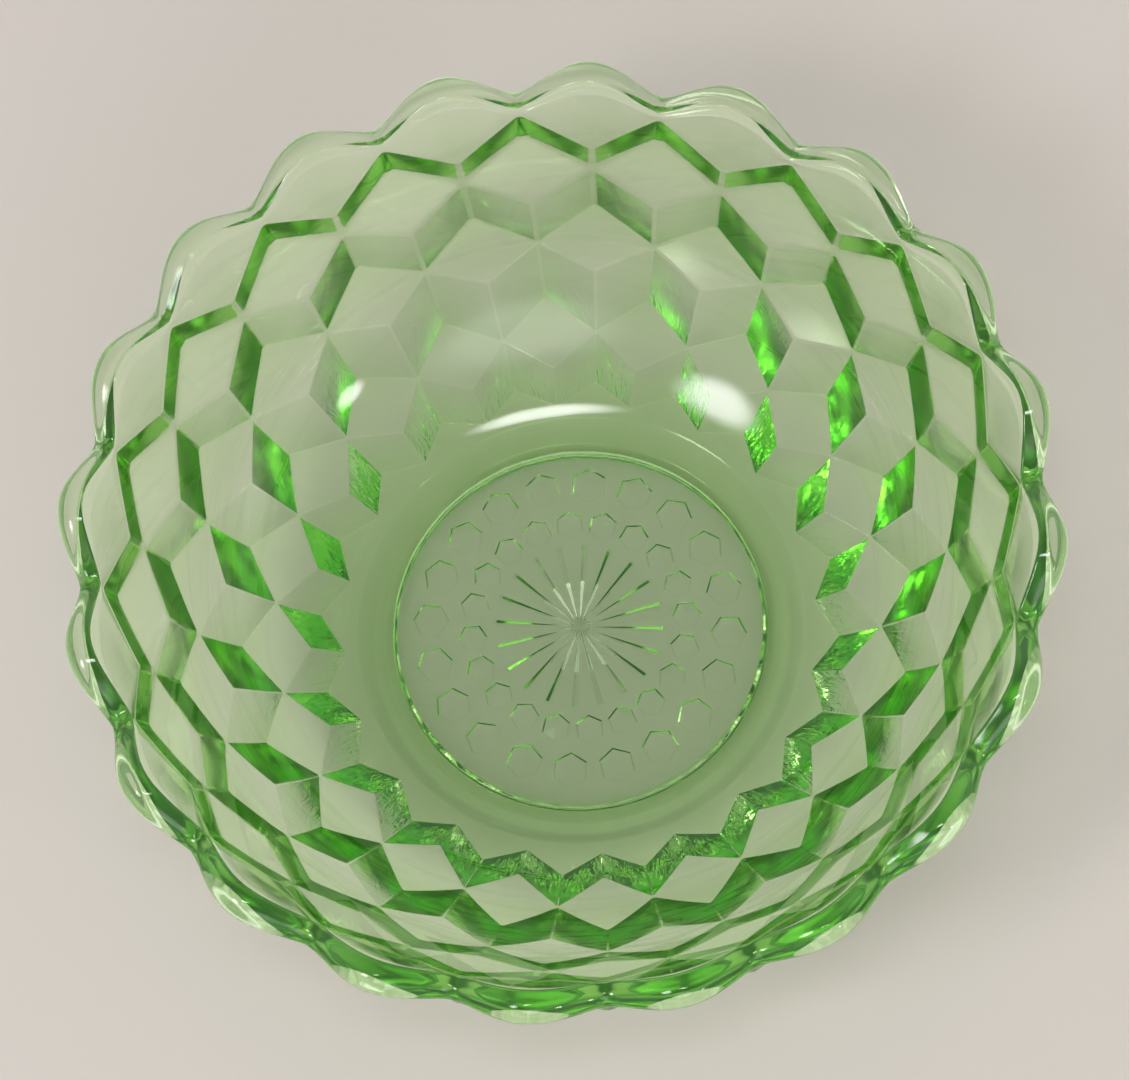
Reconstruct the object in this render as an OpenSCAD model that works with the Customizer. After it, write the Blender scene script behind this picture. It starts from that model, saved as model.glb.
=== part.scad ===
// Pressed-glass dish: smooth inside, a tumbling-block relief outside, and a scalloped lip.
// It is one piece of glass that stands on a low ring. Millimetres, +Z up.
// The origin is the centre of the ring's underside. A notch of the lip is on +X.

/* [Overall] */
// Diameter across the scallops
dish_d = 165; // [135:1:200]
// Height to the top of the scallops
dish_h = 62; // [51:1:75]
// Scallops round the lip, and cubes in each row
scallops = 20; // [14:1:26]

/* [Lip] */
// Thickness of the rounded lip at a scallop's crest
lip_t = 5.8; // [4.8:0.1:6.5]
// Thickness of the rounded lip at a notch
notch_t = 4.2; // [3.4:0.1:4.8]
// Height of a scallop above the notches
scallop_rise = 4.4; // [2:0.1:6]

/* [Wall] */
// Slope of the straight part of the wall, in degrees from level
wall_angle = 67.5; // [62:0.5:71]
// Radius of the curve between floor and wall, on the outside
curve_r = 46; // [38:1:56]
// Thickness of the wall below the lip, without its relief
wall_t = 5.6; // [4.6:0.1:6.5]
// Thickness of the floor
floor_t = 4.4; // [3.6:0.1:6]

/* [Cube relief] */
// Tilt of the cubes' side facets from the wall in the lowest row, in degrees
facet_tilt = 14.7; // [6:0.1:15]
// Tilt in each row as a share of that, lowest row first
tilt_share = [1, 0.88, 0.75, 0.5];
// Width of the level plain band between the ring and the lowest corners of the cubes
plain_band = 7; // [6:0.5:10]
// Height of each row of cubes as a share of the patterned wall, lowest row first
row_share = [0.205, 0.29, 0.275, 0.23];
// Place of each row's hollow corners, as a share of its height
hollow_share = [0.5, 0.69, 0.62, 0.34];
// Place of each row's peak corners, as a share of its height
peak_share = [0.3, 0.35, 0.45, 0.57];

/* [Foot and medallion] */
// Diameter of the ring that the dish stands on, along its middle
foot_d = 67.5; // [56:0.5:81]
// Width of the ring's flat underside
foot_w = 2; // [1.6:0.1:4]
// Slope of the ring's outside, in degrees from level
foot_slope = 30; // [25:1:60]
// Height of the ring
foot_h = 3.2; // [2:0.1:4]
// The floor inside the ring is thinner by this much
recess = 1.1; // [0.2:0.1:1.5]
// Depth of the medallion's cuts in the underside of the floor
cut_depth = 0.4; // [0.3:0.1:1.2]
// Diameter of the medallion's star
star_d = 30; // [22:1:36]
// Width of plain glass between the pits and the ring
margin = 3.2; // [1.5:0.1:5]

/* [Hidden] */

// Steps round one scallop, and round the lip's edge
lip_steps = 12;
edge_steps = 8;
// Steps along the curve between floor and wall, and round the whole dish
curve_steps = 16;
round_fn = 180;
// The lip's shoulders are fuller than a sine curve
scallop_power = 1.5;
// How far round the lip's edge goes: under it at a notch and at a crest, and over it to the inside
lip_under_notch = -55;
lip_under_crest = -76;
lip_over = 125;
// Size of the chamfer where the ring meets the floor inside it
chamfer = 0.85;
// Part of its place in the medallion that a pit fills
pit_share = 0.9;

cell = 360 / scallops;
lip_crest = [dish_d / 2 - lip_t / 2, dish_h - lip_t / 2];
along = [cos(wall_angle), sin(wall_angle)];
outward = [sin(wall_angle), -cos(wall_angle)];

// A point on the inside line of the wall, below the crest of a scallop
inside_top = lip_crest - outward * lip_t / 2;
// The outside of the wall, without its relief, passes through this point
outside_top = inside_top + outward * wall_t;

// Middle of a curve of radius r that touches level z and the sloped line through point p
function curve_middle(p, z, r) =
    let (fall = z + r - r * cos(wall_angle) - p[1])
    [p[0] - r * sin(wall_angle) + fall / tan(wall_angle), z + r];

outer_mid = curve_middle(outside_top, foot_h, curve_r);
inner_r = curve_r - floor_t;
inner_mid = curve_middle(inside_top, foot_h + floor_t, inner_r);
curve_len = curve_r * wall_angle * PI / 180;
wall_end = outer_mid + curve_r * outward;

// Point and outward direction on the outside of the wall, s along it from the flat floor
function slope_at(s) = s < curve_len ? s / curve_r * 180 / PI : wall_angle;
function away(s) = [sin(slope_at(s)), -cos(slope_at(s))];
function outside(s, proud = 0) =
    (s < curve_len ? outer_mid + curve_r * away(s) : wall_end + (s - curve_len) * along)
    + proud * away(s);

// The lip is a round edge whose middle rises and swells from notch to crest
function swell(a) = pow(sin(180 * (a / cell - floor(a / cell))), scallop_power);
function lip_radius(a) = (notch_t + (lip_t - notch_t) * swell(a)) / 2;
function lip_middle(a) =
    inside_top + outward * lip_radius(a)
    - along * scallop_rise / sin(wall_angle) * (1 - swell(a));
function lip_under(a) = lip_under_notch + (lip_under_crest - lip_under_notch) * swell(a);
function lip_turn(a, k) = lip_under(a) + (lip_over - lip_under(a)) * k / edge_steps;
function lip_point(a, turn) =
    lip_middle(a) + lip_radius(a) * (outward * cos(turn) + along * sin(turn));

// The patterned wall runs from the plain band to the root of the lip at a notch
cubes_r = foot_d / 2 + foot_w / 2 + plain_band;
band_end = curve_r * asin((cubes_r - outer_mid[0]) / curve_r) * PI / 180;
root_gap = lip_point(0, lip_under_notch) - wall_end;
pattern_end = curve_len + root_gap * along;
pattern_len = pattern_end - band_end;
row_start = [for (i = 0, at = band_end; i < 4; at = at + row_len(i), i = i + 1) at];
function row_len(i) = row_share[i] * pattern_len;
// A hollow lies above the saddle corner below it, and a peak below the saddle corner above it
function hollow_at(i) =
    let (above = hollow_share[i] * row_len(i))
    outside(row_start[i] + above, -above * tan(tilt_share[i] * facet_tilt));
function peak_at(i) =
    let (below = (1 - peak_share[i]) * row_len(i))
    outside(row_start[i] + row_len(i) - below, below * tan(tilt_share[i] * facet_tilt));
function saddle_at(i) = outside(row_start[i]);

// The lowest row stands on the level band, where its corners make a zigzag
function on_band(p) = [p[0], foot_h];

// Corner points up one column: below a notch, and below a crest
notch_column = [
    outside(0), on_band(saddle_at(0)), hollow_at(0), peak_at(1), saddle_at(2), hollow_at(2), peak_at(3)
];
crest_column = [
    outside(0), on_band(peak_at(0)), saddle_at(1), hollow_at(1), peak_at(2), saddle_at(3), hollow_at(3)
];
corners = len(notch_column);

function turned(p, a) = [p[0] * cos(a), p[0] * sin(a), p[1]];

wall_points = [
    for (j = [0 : 2 * scallops - 1], p = j % 2 == 0 ? notch_column : crest_column)
        turned(p, j * cell / 2)
];
lip_columns = scallops * lip_steps;
rings = edge_steps + 1;
lip_points = [
    for (i = [0 : lip_columns - 1], k = [0 : edge_steps])
        let (a = i * cell / lip_steps)
        turned(lip_point(a, lip_turn(a, k)), a)
];
caps = [[0, 0, foot_h], [0, 0, dish_h - lip_t]];

// Index of a wall corner, and of a point of the lip
function w(j, k) = (j % (2 * scallops)) * corners + k;
function l(i, k) = len(wall_points) + (i % lip_columns) * rings + k;
low_cap = len(wall_points) + len(lip_points);
high_cap = low_cap + 1;

// Facets between a notch column n and the crest column c beside it, as seen with c on the right
function strip(n, c) = [
    [w(n, 0), w(n, 1), w(c, 1)], [w(n, 0), w(c, 1), w(c, 0)],
    [w(n, 1), w(n, 2), w(c, 1)], [w(n, 2), w(c, 2), w(c, 1)],
    [w(n, 2), w(n, 3), w(c, 2)],
    [w(n, 3), w(n, 4), w(c, 3)], [w(n, 3), w(c, 3), w(c, 2)],
    [w(n, 4), w(c, 4), w(c, 3)],
    [w(n, 4), w(n, 5), w(c, 4)], [w(n, 5), w(c, 5), w(c, 4)],
    [w(n, 5), w(n, 6), w(c, 5)]
];
function flipped(faces) = [for (f = faces) [f[0], f[2], f[1]]];

wall_faces = [
    for (q = [0 : scallops - 1])
        let (n = 2 * q, c = 2 * q + 1, m = 2 * q + 2, i = q * lip_steps, half = lip_steps / 2)
        each concat(
            strip(n, c), flipped(strip(m, c)),
            [[w(n, 6), l(i, 0), w(c, 6)], [w(n, 6), w(c, 6), w(c, 5)]],
            flipped([[w(m, 6), l(i + lip_steps, 0), w(c, 6)], [w(m, 6), w(c, 6), w(c, 5)]]),
            [for (k = [0 : lip_steps - 1]) [w(c, 6), l(i + k, 0), l(i + k + 1, 0)]],
            [[low_cap, w(n, 0), w(c, 0)], [low_cap, w(c, 0), w(m, 0)]]
        )
];
lip_faces = [
    for (i = [0 : lip_columns - 1])
        each concat(
            [for (k = [0 : rings - 2]) each [
                [l(i, k), l(i, k + 1), l(i + 1, k + 1)],
                [l(i, k), l(i + 1, k + 1), l(i + 1, k)]
            ]],
            [[high_cap, l(i + 1, rings - 1), l(i, rings - 1)]]
        )
];

// Outside of the dish as a filled block: cube facets, then the rounded and scalloped lip
module cube_block() {
    polyhedron(
        points = concat(wall_points, lip_points, caps),
        faces = concat(wall_faces, lip_faces),
        convexity = 6
    );
}

// The smooth inside, open to above the lip
module hollow_inside() {
    above = dish_h + 5;
    rim_point = inside_top + along * (above - inside_top[1]) / sin(wall_angle);
    curve = [
        for (k = [0 : curve_steps])
            let (t = wall_angle * k / curve_steps)
            inner_mid + inner_r * [sin(t), -cos(t)]
    ];
    rotate_extrude($fn = round_fn)
        polygon(concat([[0, foot_h + floor_t]], curve, [rim_point, [0, above]]));
}

// The ring that the dish stands on: its outside slopes gently up to the plain band
module foot_ring() {
    outer = foot_d / 2 + foot_w / 2;
    rotate_extrude($fn = round_fn)
        polygon([
            [0, 0], [outer, 0],
            [outer + foot_h / tan(foot_slope), foot_h],
            [outer, foot_h + floor_t / 2], [0, foot_h + floor_t / 2]
        ]);
}

// The space inside the ring, with a chamfer where it meets the floor
module ring_hollow() {
    inner = foot_d / 2 - foot_w / 2;
    rotate_extrude($fn = round_fn)
        polygon([
            [0, -1], [inner, -1], [inner, foot_h + recess - chamfer],
            [inner - chamfer, foot_h + recess], [0, foot_h + recess]
        ]);
}

// Star of flat wedges, then two staggered rings of six-sided pits
module medallion_outline() {
    hub_r = 2;
    ray = 0.27 * cell;
    field = [star_d / 2, foot_d / 2 - foot_w / 2 - margin];
    ring_gap = (field[1] - field[0]) / 2;
    for (a = [cell / 2 : cell : 360])
        rotate(a)
            polygon([
                [hub_r, 0],
                star_d / 2 * [cos(ray / 2), sin(ray / 2)],
                star_d / 2 * [cos(ray / 2), -sin(ray / 2)]
            ]);
    for (ring = [0, 1], a = [ring * cell / 2 : cell : 359])
        let (middle = field[0] + ring_gap * (ring + 0.5))
        rotate(a)
            translate([middle, 0])
                circle(d = pit_share * min(ring_gap, middle * cell * PI / 180), $fn = 6);
}

module dish() {
    color("palegreen", 0.6)
        difference() {
            union() {
                difference() {
                    cube_block();
                    hollow_inside();
                }
                foot_ring();
            }
            ring_hollow();
            translate([0, 0, foot_h])
                linear_extrude(recess + cut_depth)
                    medallion_outline();
        }
}

dish();
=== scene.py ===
import math

import bmesh
import bpy
from mathutils import Matrix, Vector


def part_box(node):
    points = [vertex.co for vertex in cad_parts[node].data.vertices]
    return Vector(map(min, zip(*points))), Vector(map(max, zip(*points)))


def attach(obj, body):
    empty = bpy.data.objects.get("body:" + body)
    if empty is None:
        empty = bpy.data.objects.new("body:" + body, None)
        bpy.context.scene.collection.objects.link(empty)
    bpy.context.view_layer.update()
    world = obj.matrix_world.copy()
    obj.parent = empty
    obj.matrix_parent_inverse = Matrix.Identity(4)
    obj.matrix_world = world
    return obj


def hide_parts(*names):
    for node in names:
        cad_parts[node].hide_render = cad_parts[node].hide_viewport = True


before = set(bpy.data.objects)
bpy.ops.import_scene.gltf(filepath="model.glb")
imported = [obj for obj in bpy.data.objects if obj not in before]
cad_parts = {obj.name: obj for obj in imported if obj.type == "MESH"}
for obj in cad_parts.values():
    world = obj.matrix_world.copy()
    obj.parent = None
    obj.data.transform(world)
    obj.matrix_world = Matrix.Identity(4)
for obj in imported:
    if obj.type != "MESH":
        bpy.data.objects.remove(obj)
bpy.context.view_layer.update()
print("cad frame loaded")

scene = bpy.context.scene

# sizes are in millimetres and angles in degrees
dishShape = {
    "acrossScallops": 165.0,
    "scallops": 20,
    "columns": 8,                   # of the mesh, in half a scallop
    "lipThickness": 5.8,            # at a scallop's crest
    "notchThickness": 4.2,
    "scallopRise": 4.4,
    "scallopPower": 1.5,            # 1 follows a plain sine, more widens the notches
    "lipUnder": (-55.0, -76.0),     # where its round ends underneath, at a notch and at a crest
    "lipOver": 116.0,               # and over the top, where the inner corner starts
    "lipPoints": 15,                # steps of the mesh along that round
    "innerCorner": 0.55,            # tighter than the round outside
    "cornerPoints": 4,
    "wallAngle": 67.5,
    "curveRadius": 46.0,
    "curvePoints": 18,
    "wallThickness": 5.6,
    "floorThickness": 4.4,
    "plainBand": 7.0,               # between the foot ring and the lowest cubes
    "facetTilt": (14.7, 12.9, 11.0, 7.35),      # of each row of cubes, the lowest first
    "rowShare": (0.205, 0.29, 0.275, 0.23),     # of the relief's height
    "hollowShare": (0.5, 0.69, 0.62, 0.34),     # where in its row a cube is deepest
    "peakShare": (0.3, 0.35, 0.45, 0.57),       # and where it stands out most
    "edgeRound": 1.2,               # softening of the pressed edges just below the lip
    "lowEdgeShare": 0.2,            # part of it that is left at the foot of the wall
    "panelEdgeShare": 0.35,         # and round the scallops' panels
    "softFold": 6.0,                # flatter folds than this aren't softened
    "footAcross": 67.5,
    "footWidth": 2.0,
    "footHeight": 3.2,
    "footSlope": 30.0,              # of the ring's outside, from level
    "footCorner": 0.85,             # where the ring's inside meets the floor
    "recess": 1.1,                  # the floor inside the ring is this much thinner
}

shape = dishShape
lowCorner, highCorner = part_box("dish")
dishHeight = (highCorner[2] - lowCorner[2]) * 1000
halfCell = 180 / shape["scallops"]                 # from a notch to the next crest
rise = math.radians(shape["wallAngle"])
along = Vector((math.cos(rise), math.sin(rise)))   # up the wall, as radius and height
outward = Vector((math.sin(rise), -math.cos(rise)))
millimetre = 0.001
sameSpot = 1e-3                                    # points nearer than this are one point

crestRound = shape["lipThickness"] / 2
lipCrest = Vector((shape["acrossScallops"] / 2 - crestRound, dishHeight - crestRound))
insideTop = lipCrest - outward * shape["lipThickness"] / 2
outsideTop = insideTop + outward * shape["wallThickness"]


def curveMiddle(point, level, radius):
    # middle of the curve that joins a level floor to the sloped wall through a point
    fall = level + radius - radius * math.cos(rise) - point.y
    return Vector((point.x - radius * math.sin(rise) + fall / math.tan(rise), level + radius))


outerMiddle = curveMiddle(outsideTop, shape["footHeight"], shape["curveRadius"])
innerRadius = shape["curveRadius"] - shape["floorThickness"]
innerMiddle = curveMiddle(insideTop, shape["footHeight"] + shape["floorThickness"], innerRadius)
curveLength = shape["curveRadius"] * rise
wallEnd = outerMiddle + shape["curveRadius"] * outward


def outside(distance, proud=0.0):
    # a point on the outside of the wall, measured along it from the flat floor
    slope = min(distance / shape["curveRadius"], rise)
    away = Vector((math.sin(slope), -math.cos(slope)))
    if distance < curveLength:
        return outerMiddle + (shape["curveRadius"] + proud) * away
    return wallEnd + (distance - curveLength) * along + proud * away


def swell(angle):
    # 0 at a notch of the lip, 1 at the crest of a scallop
    return abs(math.sin(math.radians(angle) * shape["scallops"] / 2)) ** shape["scallopPower"]


def between(first, last, share):
    return first + (last - first) * share


def lipRadius(share):
    return between(shape["notchThickness"], shape["lipThickness"], share) / 2


def lipMiddle(share):
    slide = shape["scallopRise"] / math.sin(rise) * (1 - share)
    return insideTop + outward * lipRadius(share) - along * slide


def lipPoint(share, turn):
    turn = math.radians(turn)
    return lipMiddle(share) + lipRadius(share) * (outward * math.cos(turn) + along * math.sin(turn))


def lipLow(share):
    return between(*shape["lipUnder"], share)


def lipOutline():
    # the lip's section at a crest: a round outside and a tighter corner inside
    low, high, steps = lipLow(1), shape["lipOver"], shape["lipPoints"]
    line = [lipPoint(1, low + (high - low) * k / steps) for k in range(steps + 1)]
    turn = math.radians(high)
    heading = along * math.cos(turn) - outward * math.sin(turn)
    gap = (line[-1] - insideTop).dot(outward)
    corner = line[-1] + heading * gap / math.sin(turn)
    cut = shape["innerCorner"]
    first, last = corner - heading * cut, corner - along * cut
    for k in range(shape["cornerPoints"] + 1):
        t = k / shape["cornerPoints"]
        line.append(first * (1 - t) ** 2 + corner * 2 * t * (1 - t) + last * t ** 2)
    return line


def cubeColumns():
    # corner points of the relief up a notch column and up a crest column
    bandEnd = shape["footAcross"] / 2 + shape["footWidth"] / 2 + shape["plainBand"]
    start = shape["curveRadius"] * math.asin((bandEnd - outerMiddle.x) / shape["curveRadius"])
    end = curveLength + (lipPoint(0, lipLow(0)) - wallEnd).dot(along)
    length = [share * (end - start) for share in shape["rowShare"]]
    saddle, hollow, peak = [], [], []
    at = start
    for row, tall in enumerate(length):
        tilt = math.tan(math.radians(shape["facetTilt"][row]))
        above = shape["hollowShare"][row] * tall
        below = (1 - shape["peakShare"][row]) * tall
        saddle.append(outside(at))
        hollow.append(outside(at + above, -above * tilt))
        peak.append(outside(at + tall - below, below * tilt))
        at += tall
    saddle[0].y = peak[0].y = shape["footHeight"]  # the lowest row stands on the level band
    notch = [saddle[0], hollow[0], peak[1], saddle[2], hollow[2], peak[3]]
    crest = [peak[0], saddle[1], hollow[1], peak[2], saddle[3], hollow[3]]
    return notch, crest


def turned(point, angle):
    # a point of the section, turned about the dish's axis
    angle = math.radians(angle)
    return Vector((point.x * math.cos(angle), point.x * math.sin(angle), point.y))


def angleOf(v):
    return math.degrees(math.atan2(v.co.y, v.co.x))


def turnOf(offset):
    # how far round the lip's section an offset from its middle points
    return math.degrees(math.atan2(offset.dot(along), offset.dot(outward)))


def spinLine(bm, points, angle, steps):
    # draw a line of points in the XZ plane and turn it about the dish's axis
    verts = [bm.verts.new(turned(p, 0)) for p in points]
    edges = [bm.edges.new(pair) for pair in zip(verts, verts[1:])]
    bmesh.ops.spin(bm, geom=verts + edges, cent=(0, 0, 0), axis=(0, 0, 1), dvec=(0, 0, 0),
                   angle=math.radians(angle), steps=steps, use_merge=angle == 360)


def ringAt(bm, point):
    # the points of a spun ring, in order round the axis
    near = sameSpot / 10
    found = [v for v in bm.verts
             if abs(v.co.z - point.y) < near and abs(v.co.xy.length - point.x) < near]
    return sorted(found, key=angleOf)


def footRing():
    # steep inside with a small corner at the floor, a gentle slope outside;
    # the small numbers round its corners off
    inner = shape["footAcross"] / 2 - shape["footWidth"] / 2
    outer = inner + shape["footWidth"]
    level = shape["footHeight"]
    under = level + shape["recess"]
    corner = shape["footCorner"]
    slopeEnd = outer + level / math.tan(math.radians(shape["footSlope"]))
    line = (
        (slopeEnd + 0.5, level), (slopeEnd - 0.35, level - 0.09), (slopeEnd - 1.2, level - 0.55),
        (outer + 0.75, 0.36), (outer + 0.3, 0.1), (outer - 0.1, 0),
        (inner + 0.45, 0), (inner + 0.13, 0.1), (inner, 0.4),
        (inner - 0.02, under - corner - 0.05), (inner - 0.08, under - corner + 0.07),
        (inner - corner + 0.07, under - 0.08), (inner - corner - 0.08, under),
    )
    return [Vector(point) for point in line]


def halfScallop():
    # everything between the middle of a notch and the middle of a scallop
    bm = bmesh.new()
    # kinds of face: 0 smooth, 1 top of a cube, 2 its sides, 3 plain, 4 medallion
    kind = bm.faces.layers.int.new("kind")

    # lip, smooth inside and floor
    lowest = insideTop - along * (shape["scallopRise"] + shape["lipThickness"])
    wallFoot = innerMiddle + innerRadius * outward
    insideLine = [lowest, lowest.lerp(wallFoot, 0.33), lowest.lerp(wallFoot, 0.67)]
    for k in range(shape["curvePoints"], -1, -1):
        slope = rise * k / shape["curvePoints"]
        insideLine.append(innerMiddle + innerRadius * Vector((math.sin(slope), -math.cos(slope))))
    floorLevel = insideLine[-1].y
    insideLine += [Vector((insideLine[-1].x * part, floorLevel)) for part in (0.75, 0.5, 0.25, 0)]
    spinLine(bm, lipOutline() + insideLine, halfCell, shape["columns"])
    bmesh.ops.remove_doubles(bm, verts=bm.verts, dist=sameSpot / 10)

    # pull the lip down and in towards the notch
    high = shape["lipOver"]
    for v in [v for v in bm.verts if v.co.z > lowest.y + sameSpot]:
        angle = angleOf(v)
        share = swell(angle)
        offset = Vector((v.co.xy.length, v.co.z)) - lipMiddle(1)
        turn = turnOf(offset)
        if turn < high:                            # the underside reaches less far at a notch
            reach = high - (high - turn) * (high - lipLow(share)) / (high - lipLow(1))
            offset = (lipPoint(1, reach) - lipMiddle(1)) * offset.length / lipRadius(1)
        v.co = turned(lipMiddle(share) + offset * lipRadius(share) / lipRadius(1), angle)

    ring = footRing()
    spinLine(bm, ring, halfCell, shape["columns"])

    # the cubes
    notchPoints, crestPoints = cubeColumns()
    n = [bm.verts.new(turned(p, 0)) for p in notchPoints]
    c = [bm.verts.new(turned(p, halfCell)) for p in crestPoints]
    lip = []                                       # the edge where the lip's underside ends
    for v in bm.verts:
        angle = angleOf(v)
        share = swell(angle)
        lipEdge = turned(lipPoint(share, lipLow(share)), angle)
        if v.co.z > lowest.y and (v.co - lipEdge).length < sameSpot:
            lip.append(v)
    lip.sort(key=angleOf)
    tops = ((n[1], n[2], c[1]), (n[3], c[3], c[2]), (n[4], n[5], c[4]))
    sides = ((n[0], n[1], c[1], c[0]), (n[2], n[3], c[2], c[1]),
             (n[3], n[4], c[4], c[3]), (n[5], lip[0], c[5], c[4]))
    fan = [(c[5], a, b) for a, b in zip(lip, lip[1:])]
    band = [tuple(ringAt(bm, ring[0])) + (c[0], n[0])]
    for number, group in ((1, tops), (2, sides), (3, fan), (3, band)):
        for corners in group:
            bm.faces.new(corners)[kind] = number
    return bm, kind


medallion = {
    "starAcross": 30.0,
    "hubAcross": 3.6,
    "rayDepth": 0.38,
    "rayFade": 0.4,                 # 0 keeps that depth up to the hub
    "rayEnd": 0.5,                  # length of the slope at its outer end
    "rayShare": 0.27,               # part of the star that its rays fill
    "margin": 3.2,                  # plain glass between the pits and the ring
    "pitSides": 6,
    "pitShare": 0.9,                # part of its place that a pit fills
    "pitRim": (0.3, 0.22),          # width and depth of a pit's steep rim
    "pitPoint": 0.42,               # rise of its bottom to a point
    "pitStray": 0.7,                # how far from the middle that point may lie
    "crispFold": 7.0,               # steeper folds than this keep a crisp edge
}

# parts of the glass's grain and castRoughness that each place gets, and heights in metres
surface = {
    "marksStart": 1.25,             # over 1, so the lowest cubes have all of the grain
    "marksHeight": 0.013,
    "leastMarks": 0.03,
    "castStart": 0.004,
    "castHeight": 0.014,
    "leastCast": 0.15,
    "medallionCast": 0.4,
    "underLipCast": 0.45,
}


def addStar(bm, kind, level):
    # rays like shallow V grooves, from the hub to the star's edge
    starRadius, hubRadius = medallion["starAcross"] / 2, medallion["hubAcross"] / 2
    slopeStart = starRadius - medallion["rayEnd"]
    radii = (starRadius, slopeStart, starRadius * 0.55, hubRadius, 0)
    before = set(bm.verts)
    spinLine(bm, [Vector((r, level)) for r in radii], 360, 4 * shape["scallops"])
    star = [v for v in bm.verts if v not in before]
    bmesh.ops.remove_doubles(bm, verts=star, dist=sameSpot)
    star = [v for v in bm.verts if v not in before]
    for f in {f for v in star for f in v.link_faces}:
        f[kind] = 4
    for v in star:
        r = v.co.xy.length
        column = round(angleOf(v) / halfCell * 2) % 4
        if r > hubRadius / 2 and column % 2:       # the two edges of a ray
            middle = round(angleOf(v) / halfCell / 2 - 0.5) + 0.5
            side = 1 if column == 3 else -1
            edge = middle * 2 + side * medallion["rayShare"]
            v.co = turned(Vector((r, v.co.z)), edge * halfCell)
        if hubRadius / 2 < r < slopeStart + sameSpot and column == 2:  # the bottom of a ray
            v.co.z += medallion["rayDepth"] * (r / starRadius) ** medallion["rayFade"]


def addPits(bm, level):
    # two staggered rings of pits, between the star and the foot ring
    starRadius = medallion["starAcross"] / 2
    ringInside = shape["footAcross"] / 2 - shape["footWidth"] / 2
    gap = (ringInside - medallion["margin"] - starRadius) / 2
    pits = []
    for ring in (0, 1):
        middle = starRadius + gap * (ring + 0.5)
        size = medallion["pitShare"] * min(gap, middle * math.radians(2 * halfCell)) / 2
        quarter = Matrix.Rotation(math.radians(90), 4, "Z")
        for k in range(shape["scallops"]):
            turn = Matrix.Rotation(math.radians((2 * k + ring) * halfCell), 4, "Z")
            place = turn @ Matrix.Translation((middle, 0, level)) @ quarter
            made = bmesh.ops.create_circle(bm, cap_ends=True, segments=medallion["pitSides"],
                                           radius=size, matrix=place)
            pits += {f for v in made["verts"] for f in v.link_faces}
    return pits


def deepenPits(bm, kind, pits):
    rimWidth, rimDepth = medallion["pitRim"]
    for f in pits:
        f[kind] = 4
    bmesh.ops.inset_individual(bm, faces=pits, thickness=rimWidth, depth=-rimDepth,
                               use_even_offset=True)
    made = bmesh.ops.poke(bm, faces=pits, offset=-medallion["pitPoint"])
    for f in made["faces"]:
        f[kind] = 4
    for v in made["verts"]:                        # each point strays its own way, by its place
        way = 97 * v.co.x + 61 * v.co.y
        stray = medallion["pitStray"] * math.sin(5 * way)
        v.co += Vector((math.cos(way), math.sin(way), 0)) * stray


def softenEdges(bm, kind):
    # the pressed edges are softest near the lip, where the glass was reheated
    soft = bm.edges.layers.float.new("bevel_weight_edge")
    lowest = shape["lowEdgeShare"]
    top = between(wallEnd.y, dishHeight, 0.55)
    for e in bm.edges:
        if len(e.link_faces) != 2:
            continue
        kinds = [f[kind] for f in e.link_faces]
        fold = math.degrees(e.calc_face_angle())
        if 0 not in kinds and 4 not in kinds and fold > shape["softFold"]:
            height = min(1, max(0, (e.verts[0].co.z + e.verts[1].co.z) / 2 / top))
            e[soft] = lowest + (1 - lowest) * height ** 2
            if height > 0.8 and 3 in kinds:
                e[soft] = shape["panelEdgeShare"]
        elif 4 in kinds and fold > medallion["crispFold"]:
            e.smooth = False                       # crisp rims in the medallion


def markSurface(bm, kind):
    # how much the mould marked each place, and how matt it left it; bm is in metres by now
    pressed = bm.verts.layers.float.new("pressed")
    cast = bm.verts.layers.float.new("cast")
    for v in bm.verts:
        kinds = [f[kind] for f in v.link_faces]
        if 1 in kinds or 2 in kinds:
            marks = surface["marksStart"] - v.co.z / surface["marksHeight"]
            v[pressed] = min(1, max(surface["leastMarks"], marks))
            matt = (v.co.z - surface["castStart"]) / surface["castHeight"]
            v[cast] = min(1, max(surface["leastCast"], matt))
        if 4 in kinds:
            v[cast] = surface["medallionCast"]
        share = swell(angleOf(v))
        offset = Vector((v.co.xy.length, v.co.z)) * 1000 - lipMiddle(share)
        onLip = v.co.z * 1000 > wallEnd.y and offset.length < 1.1 * lipRadius(share)
        if onLip and lipLow(share) - 5 < turnOf(offset) < -20:     # the lip's underside
            v[cast] = surface["underLipCast"]


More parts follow.
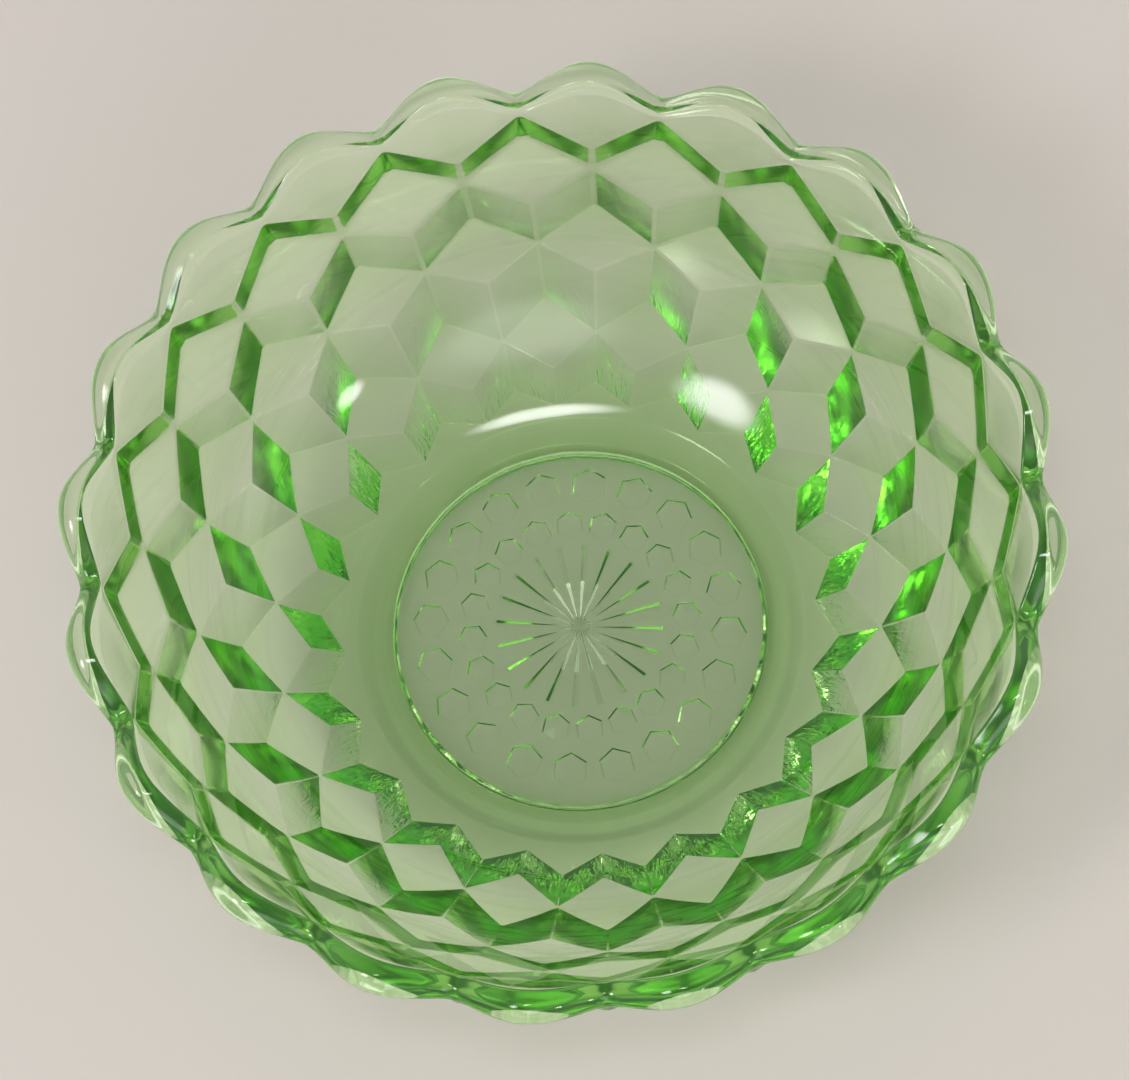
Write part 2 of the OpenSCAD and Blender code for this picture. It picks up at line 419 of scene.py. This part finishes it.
def pressedDish():
    bm, kind = halfScallop()
    half = bm.verts[:] + bm.edges[:] + bm.faces[:]
    bmesh.ops.mirror(bm, geom=half, matrix=Matrix.Identity(4), merge_dist=sameSpot, axis="Y")
    whole = bm.verts[:] + bm.edges[:] + bm.faces[:]
    copies = shape["scallops"] - 1
    bmesh.ops.spin(bm, geom=whole, cent=(0, 0, 0), axis=(0, 0, 1), dvec=(0, 0, 0),
                   angle=math.radians(2 * halfCell * copies), steps=copies, use_duplicate=True)
    bmesh.ops.remove_doubles(bm, verts=bm.verts, dist=sameSpot)
    halves = [e for e in bm.edges
              if len(e.link_faces) == 2 and all(f[kind] == 1 for f in e.link_faces)]
    bmesh.ops.dissolve_edges(bm, edges=halves, use_verts=False)

    # the medallion under the floor, and the level glass round it
    level = shape["footHeight"] + shape["recess"]
    addStar(bm, kind, level)
    pits = addPits(bm, level)
    openEdges = [e for e in bm.edges if e.is_boundary]
    bmesh.ops.triangle_fill(bm, use_beauty=True, use_dissolve=False, edges=openEdges,
                            normal=(0, 0, -1))
    bmesh.ops.recalc_face_normals(bm, faces=bm.faces)
    deepenPits(bm, kind, pits)

    softenEdges(bm, kind)
    bmesh.ops.scale(bm, vec=(millimetre,) * 3, verts=bm.verts)
    markSurface(bm, kind)
    for f in bm.faces:
        f.smooth = True
    openCount = sum(1 for e in bm.edges if not e.is_manifold)
    print("dish pressed:", len(bm.faces), "faces,", openCount, "open edges, volume",
          round(bm.calc_volume() * 1e9), "mm3")
    mesh = bpy.data.meshes.new("pressedDish")
    bm.to_mesh(mesh)
    bm.free()
    return mesh


greenGlass = {
    "ior": 1.52,
    "castRoughness": 0.17,          # on the upper cubes; the lip and the inside are fire-polished
    "tint": (0.50, 0.90, 0.12),     # the colour that the glass lets through
    "density": 56.0,
    "paintedGlow": (0.22, 1.0, 0.06),      # painted glow: the glass gives off faint green light of its own under any lamp; partly uranium glass's real faint fluorescence in daylight, partly painted light that brightens the green
    "paintedGlowStrength": 0.013,
    "ripple": 0.045,                # long soft ripples of the fire-polished surface
    "rippleScale": 55.0,
    "rippleDepth": 0.001,           # metres
    "grain": 0.32,                  # finer marks that the mould left on the cubes
    "grainScale": 620.0,
    "grainTwist": 1.4,
    "grainDepth": 0.0004,
    "streak": (0.045, 0.45, 1.0),   # metres for a radian round the dish, and a part of height
}


def noiseOf(nodes, scale, twist=0.0):
    noise = nodes.new("ShaderNodeTexNoise")
    noise.inputs["Scale"].default_value = scale
    noise.inputs["Detail"].default_value = 2
    noise.inputs["Distortion"].default_value = twist
    return noise


def attributeTimes(nodes, links, name, amount):
    # a vertex attribute of the dish, times one number
    attribute = nodes.new("ShaderNodeAttribute")
    attribute.attribute_name = name
    times = nodes.new("ShaderNodeMath")
    times.operation = "MULTIPLY"
    times.inputs[1].default_value = amount
    links.new(attribute.outputs["Fac"], times.inputs[0])
    return times.outputs["Value"]


def makeGreenGlass():
    look = greenGlass
    material = bpy.data.materials.new("greenGlass")
    material.use_nodes = True
    nodes, links = material.node_tree.nodes, material.node_tree.links
    nodes.clear()
    output = nodes.new("ShaderNodeOutputMaterial")
    glass = nodes.new("ShaderNodeBsdfPrincipled")
    glass.inputs["Base Color"].default_value = (1, 1, 1, 1)
    glass.inputs["Transmission Weight"].default_value = 1
    glass.inputs["IOR"].default_value = look["ior"]
    # painted glow: a faint green light that the glass gives off by itself, whatever lights it
    glass.inputs["Emission Color"].default_value = (*look["paintedGlow"], 1)
    glass.inputs["Emission Strength"].default_value = look["paintedGlowStrength"]
    body = nodes.new("ShaderNodeVolumeAbsorption")
    body.inputs["Color"].default_value = (*look["tint"], 1)
    body.inputs["Density"].default_value = look["density"]
    links.new(glass.outputs["BSDF"], output.inputs["Surface"])
    links.new(body.outputs["Volume"], output.inputs["Volume"])
    matt = attributeTimes(nodes, links, "cast", look["castRoughness"])
    links.new(matt, glass.inputs["Roughness"])

    # the ripple is everywhere
    where = nodes.new("ShaderNodeTexCoord")
    ripple = noiseOf(nodes, look["rippleScale"])
    longBump = nodes.new("ShaderNodeBump")
    longBump.inputs["Strength"].default_value = look["ripple"]
    longBump.inputs["Distance"].default_value = look["rippleDepth"]
    links.new(where.outputs["Object"], ripple.inputs["Vector"])
    links.new(ripple.outputs["Fac"], longBump.inputs["Height"])

    # the mould's marks run up the wall, in long streaks
    split = nodes.new("ShaderNodeSeparateXYZ")
    turn = nodes.new("ShaderNodeMath")
    turn.operation = "ARCTAN2"
    flow = nodes.new("ShaderNodeCombineXYZ")
    stretch = nodes.new("ShaderNodeVectorMath")
    stretch.operation = "MULTIPLY"
    stretch.inputs[1].default_value = look["streak"]
    grain = noiseOf(nodes, look["grainScale"], look["grainTwist"])
    fineBump = nodes.new("ShaderNodeBump")
    fineBump.inputs["Distance"].default_value = look["grainDepth"]
    links.new(where.outputs["Object"], split.inputs["Vector"])
    links.new(split.outputs["Y"], turn.inputs[0])
    links.new(split.outputs["X"], turn.inputs[1])
    links.new(turn.outputs["Value"], flow.inputs["X"])
    links.new(split.outputs["Z"], flow.inputs["Y"])
    links.new(flow.outputs["Vector"], stretch.inputs[0])
    links.new(stretch.outputs["Vector"], grain.inputs["Vector"])
    marks = attributeTimes(nodes, links, "pressed", look["grain"])
    links.new(marks, fineBump.inputs["Strength"])
    links.new(grain.outputs["Fac"], fineBump.inputs["Height"])
    links.new(longBump.outputs["Normal"], fineBump.inputs["Normal"])
    links.new(fineBump.outputs["Normal"], glass.inputs["Normal"])
    return material


dish = bpy.data.objects.new("dishGlass", pressedDish())
scene.collection.objects.link(dish)
dish.data.materials.append(makeGreenGlass())
softEdges = dish.modifiers.new("softEdges", "BEVEL")
softEdges.limit_method = "WEIGHT"
softEdges.width = dishShape["edgeRound"] * millimetre
softEdges.segments = 3
softEdges.use_clamp_overlap = True
evenNormals = dish.modifiers.new("evenNormals", "WEIGHTED_NORMAL")
evenNormals.mode = "FACE_AREA"
evenNormals.weight = 60
evenNormals.keep_sharp = True
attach(dish, "root")
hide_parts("dish")
print("dish made and riding on root")

paleFloor = {
    "across": 4.0,                  # metres
    "drop": 0.00005,                # below the foot, so the two don't share a level
    "colour": (0.64, 0.59, 0.55),
    "roughness": 0.7,
}


def makeFloor():
    bm = bmesh.new()
    bmesh.ops.create_grid(bm, x_segments=1, y_segments=1, size=paleFloor["across"] / 2)
    bmesh.ops.translate(bm, vec=(0, 0, -paleFloor["drop"]), verts=bm.verts)
    mesh = bpy.data.meshes.new("floor")
    bm.to_mesh(mesh)
    bm.free()
    floor = bpy.data.objects.new("floor", mesh)
    scene.collection.objects.link(floor)
    material = bpy.data.materials.new("paleFloor")
    material.use_nodes = True
    paint = material.node_tree.nodes["Principled BSDF"]
    paint.inputs["Base Color"].default_value = (*paleFloor["colour"], 1)
    paint.inputs["Roughness"].default_value = paleFloor["roughness"]
    mesh.materials.append(material)


makeFloor()
print("floor laid")

studio = {
    "overhead": (0.47, 0.46, 0.455),
    "horizon": (1.04, 1.02, 1.005),
    "lampFade": (0.48, 0.16),       # from a softbox's middle: dark here, full light here
    "lamps": (
        # azimuth, elevation, distance, width, height, power, whether it shines through the glass
        (-167.0, 53.0, 1.4, 0.50, 0.62, 10.0, True),
        (-57.0, 26.0, 1.4, 0.24, 0.24, 2.0, True),
        (-108.0, 80.0, 1.5, 0.66, 0.20, 5.0, False),
        (-104.0, 40.0, 1.5, 1.50, 1.10, 9.5, True),
    ),
}

viewpoint = {
    "azimuth": -101.97,
    "elevation": 70.86,
    "distance": 0.787,
    "aim": (0.0023, 0.0081, 0.0278),
    "roll": -12.05,
    "lens": 148.1,
    "sensor": 36.0,
    "nearest": 0.01,
}


def polar(azimuth, elevation, distance):
    a, e = math.radians(azimuth), math.radians(elevation)
    return Vector((math.cos(a) * math.cos(e), math.sin(a) * math.cos(e), math.sin(e))) * distance


def makeLight():
    world = bpy.data.worlds.new("softSky")
    scene.world = world
    world.use_nodes = True
    nodes, links = world.node_tree.nodes, world.node_tree.links
    sky = nodes["Background"]
    direction = nodes.new("ShaderNodeTexCoord")
    split = nodes.new("ShaderNodeSeparateXYZ")
    blend = nodes.new("ShaderNodeMix")
    blend.data_type = "RGBA"
    blend.inputs["A"].default_value = (*studio["horizon"], 1)
    blend.inputs["B"].default_value = (*studio["overhead"], 1)
    links.new(direction.outputs["Generated"], split.inputs["Vector"])
    links.new(split.outputs["Z"], blend.inputs["Factor"])
    links.new(blend.outputs["Result"], sky.inputs["Color"])
    for k, softbox in enumerate(studio["lamps"]):
        azimuth, elevation, distance, wide, high, power, shinesOn = softbox
        light = bpy.data.lights.new("softbox%d" % k, "AREA")
        light.shape = "ELLIPSE"
        light.size, light.size_y, light.energy = wide, high, power
        light.use_nodes = True                     # a softbox is brightest in its middle
        nodes, links = light.node_tree.nodes, light.node_tree.links
        shine = nodes["Emission"]
        spot = nodes.new("ShaderNodeNewGeometry")
        centre = nodes.new("ShaderNodeVectorMath")
        centre.operation = "DISTANCE"
        centre.inputs[1].default_value = (0.5, 0.5, 0)
        fade = nodes.new("ShaderNodeMapRange")
        fade.interpolation_type = "SMOOTHSTEP"
        fade.inputs["From Min"].default_value = studio["lampFade"][0]
        fade.inputs["From Max"].default_value = studio["lampFade"][1]
        links.new(spot.outputs["Parametric"], centre.inputs[0])
        links.new(centre.outputs["Value"], fade.inputs["Value"])
        links.new(fade.outputs["Result"], shine.inputs["Strength"])
        lamp = bpy.data.objects.new("softbox%d" % k, light)
        lamp.location = polar(azimuth, elevation, distance)
        lamp.rotation_euler = (-lamp.location).to_track_quat("-Z", "Y").to_euler()
        lamp.visible_transmission = shinesOn
        scene.collection.objects.link(lamp)


def makeCamera():
    view = bpy.data.cameras.new("camera")
    view.lens = viewpoint["lens"]
    view.sensor_width = viewpoint["sensor"]
    view.clip_start = viewpoint["nearest"]
    camera = bpy.data.objects.new("camera", view)
    back = polar(viewpoint["azimuth"], viewpoint["elevation"], 1)
    aim = back.to_track_quat("Z", "Y").to_matrix().to_4x4()
    roll = Matrix.Rotation(math.radians(viewpoint["roll"]), 4, "Z")
    place = Matrix.Translation(Vector(viewpoint["aim"]) + back * viewpoint["distance"])
    camera.matrix_world = place @ aim @ roll
    scene.collection.objects.link(camera)
    scene.camera = camera


makeLight()
makeCamera()
scene.view_settings.view_transform = "Standard"
print("light and camera set")
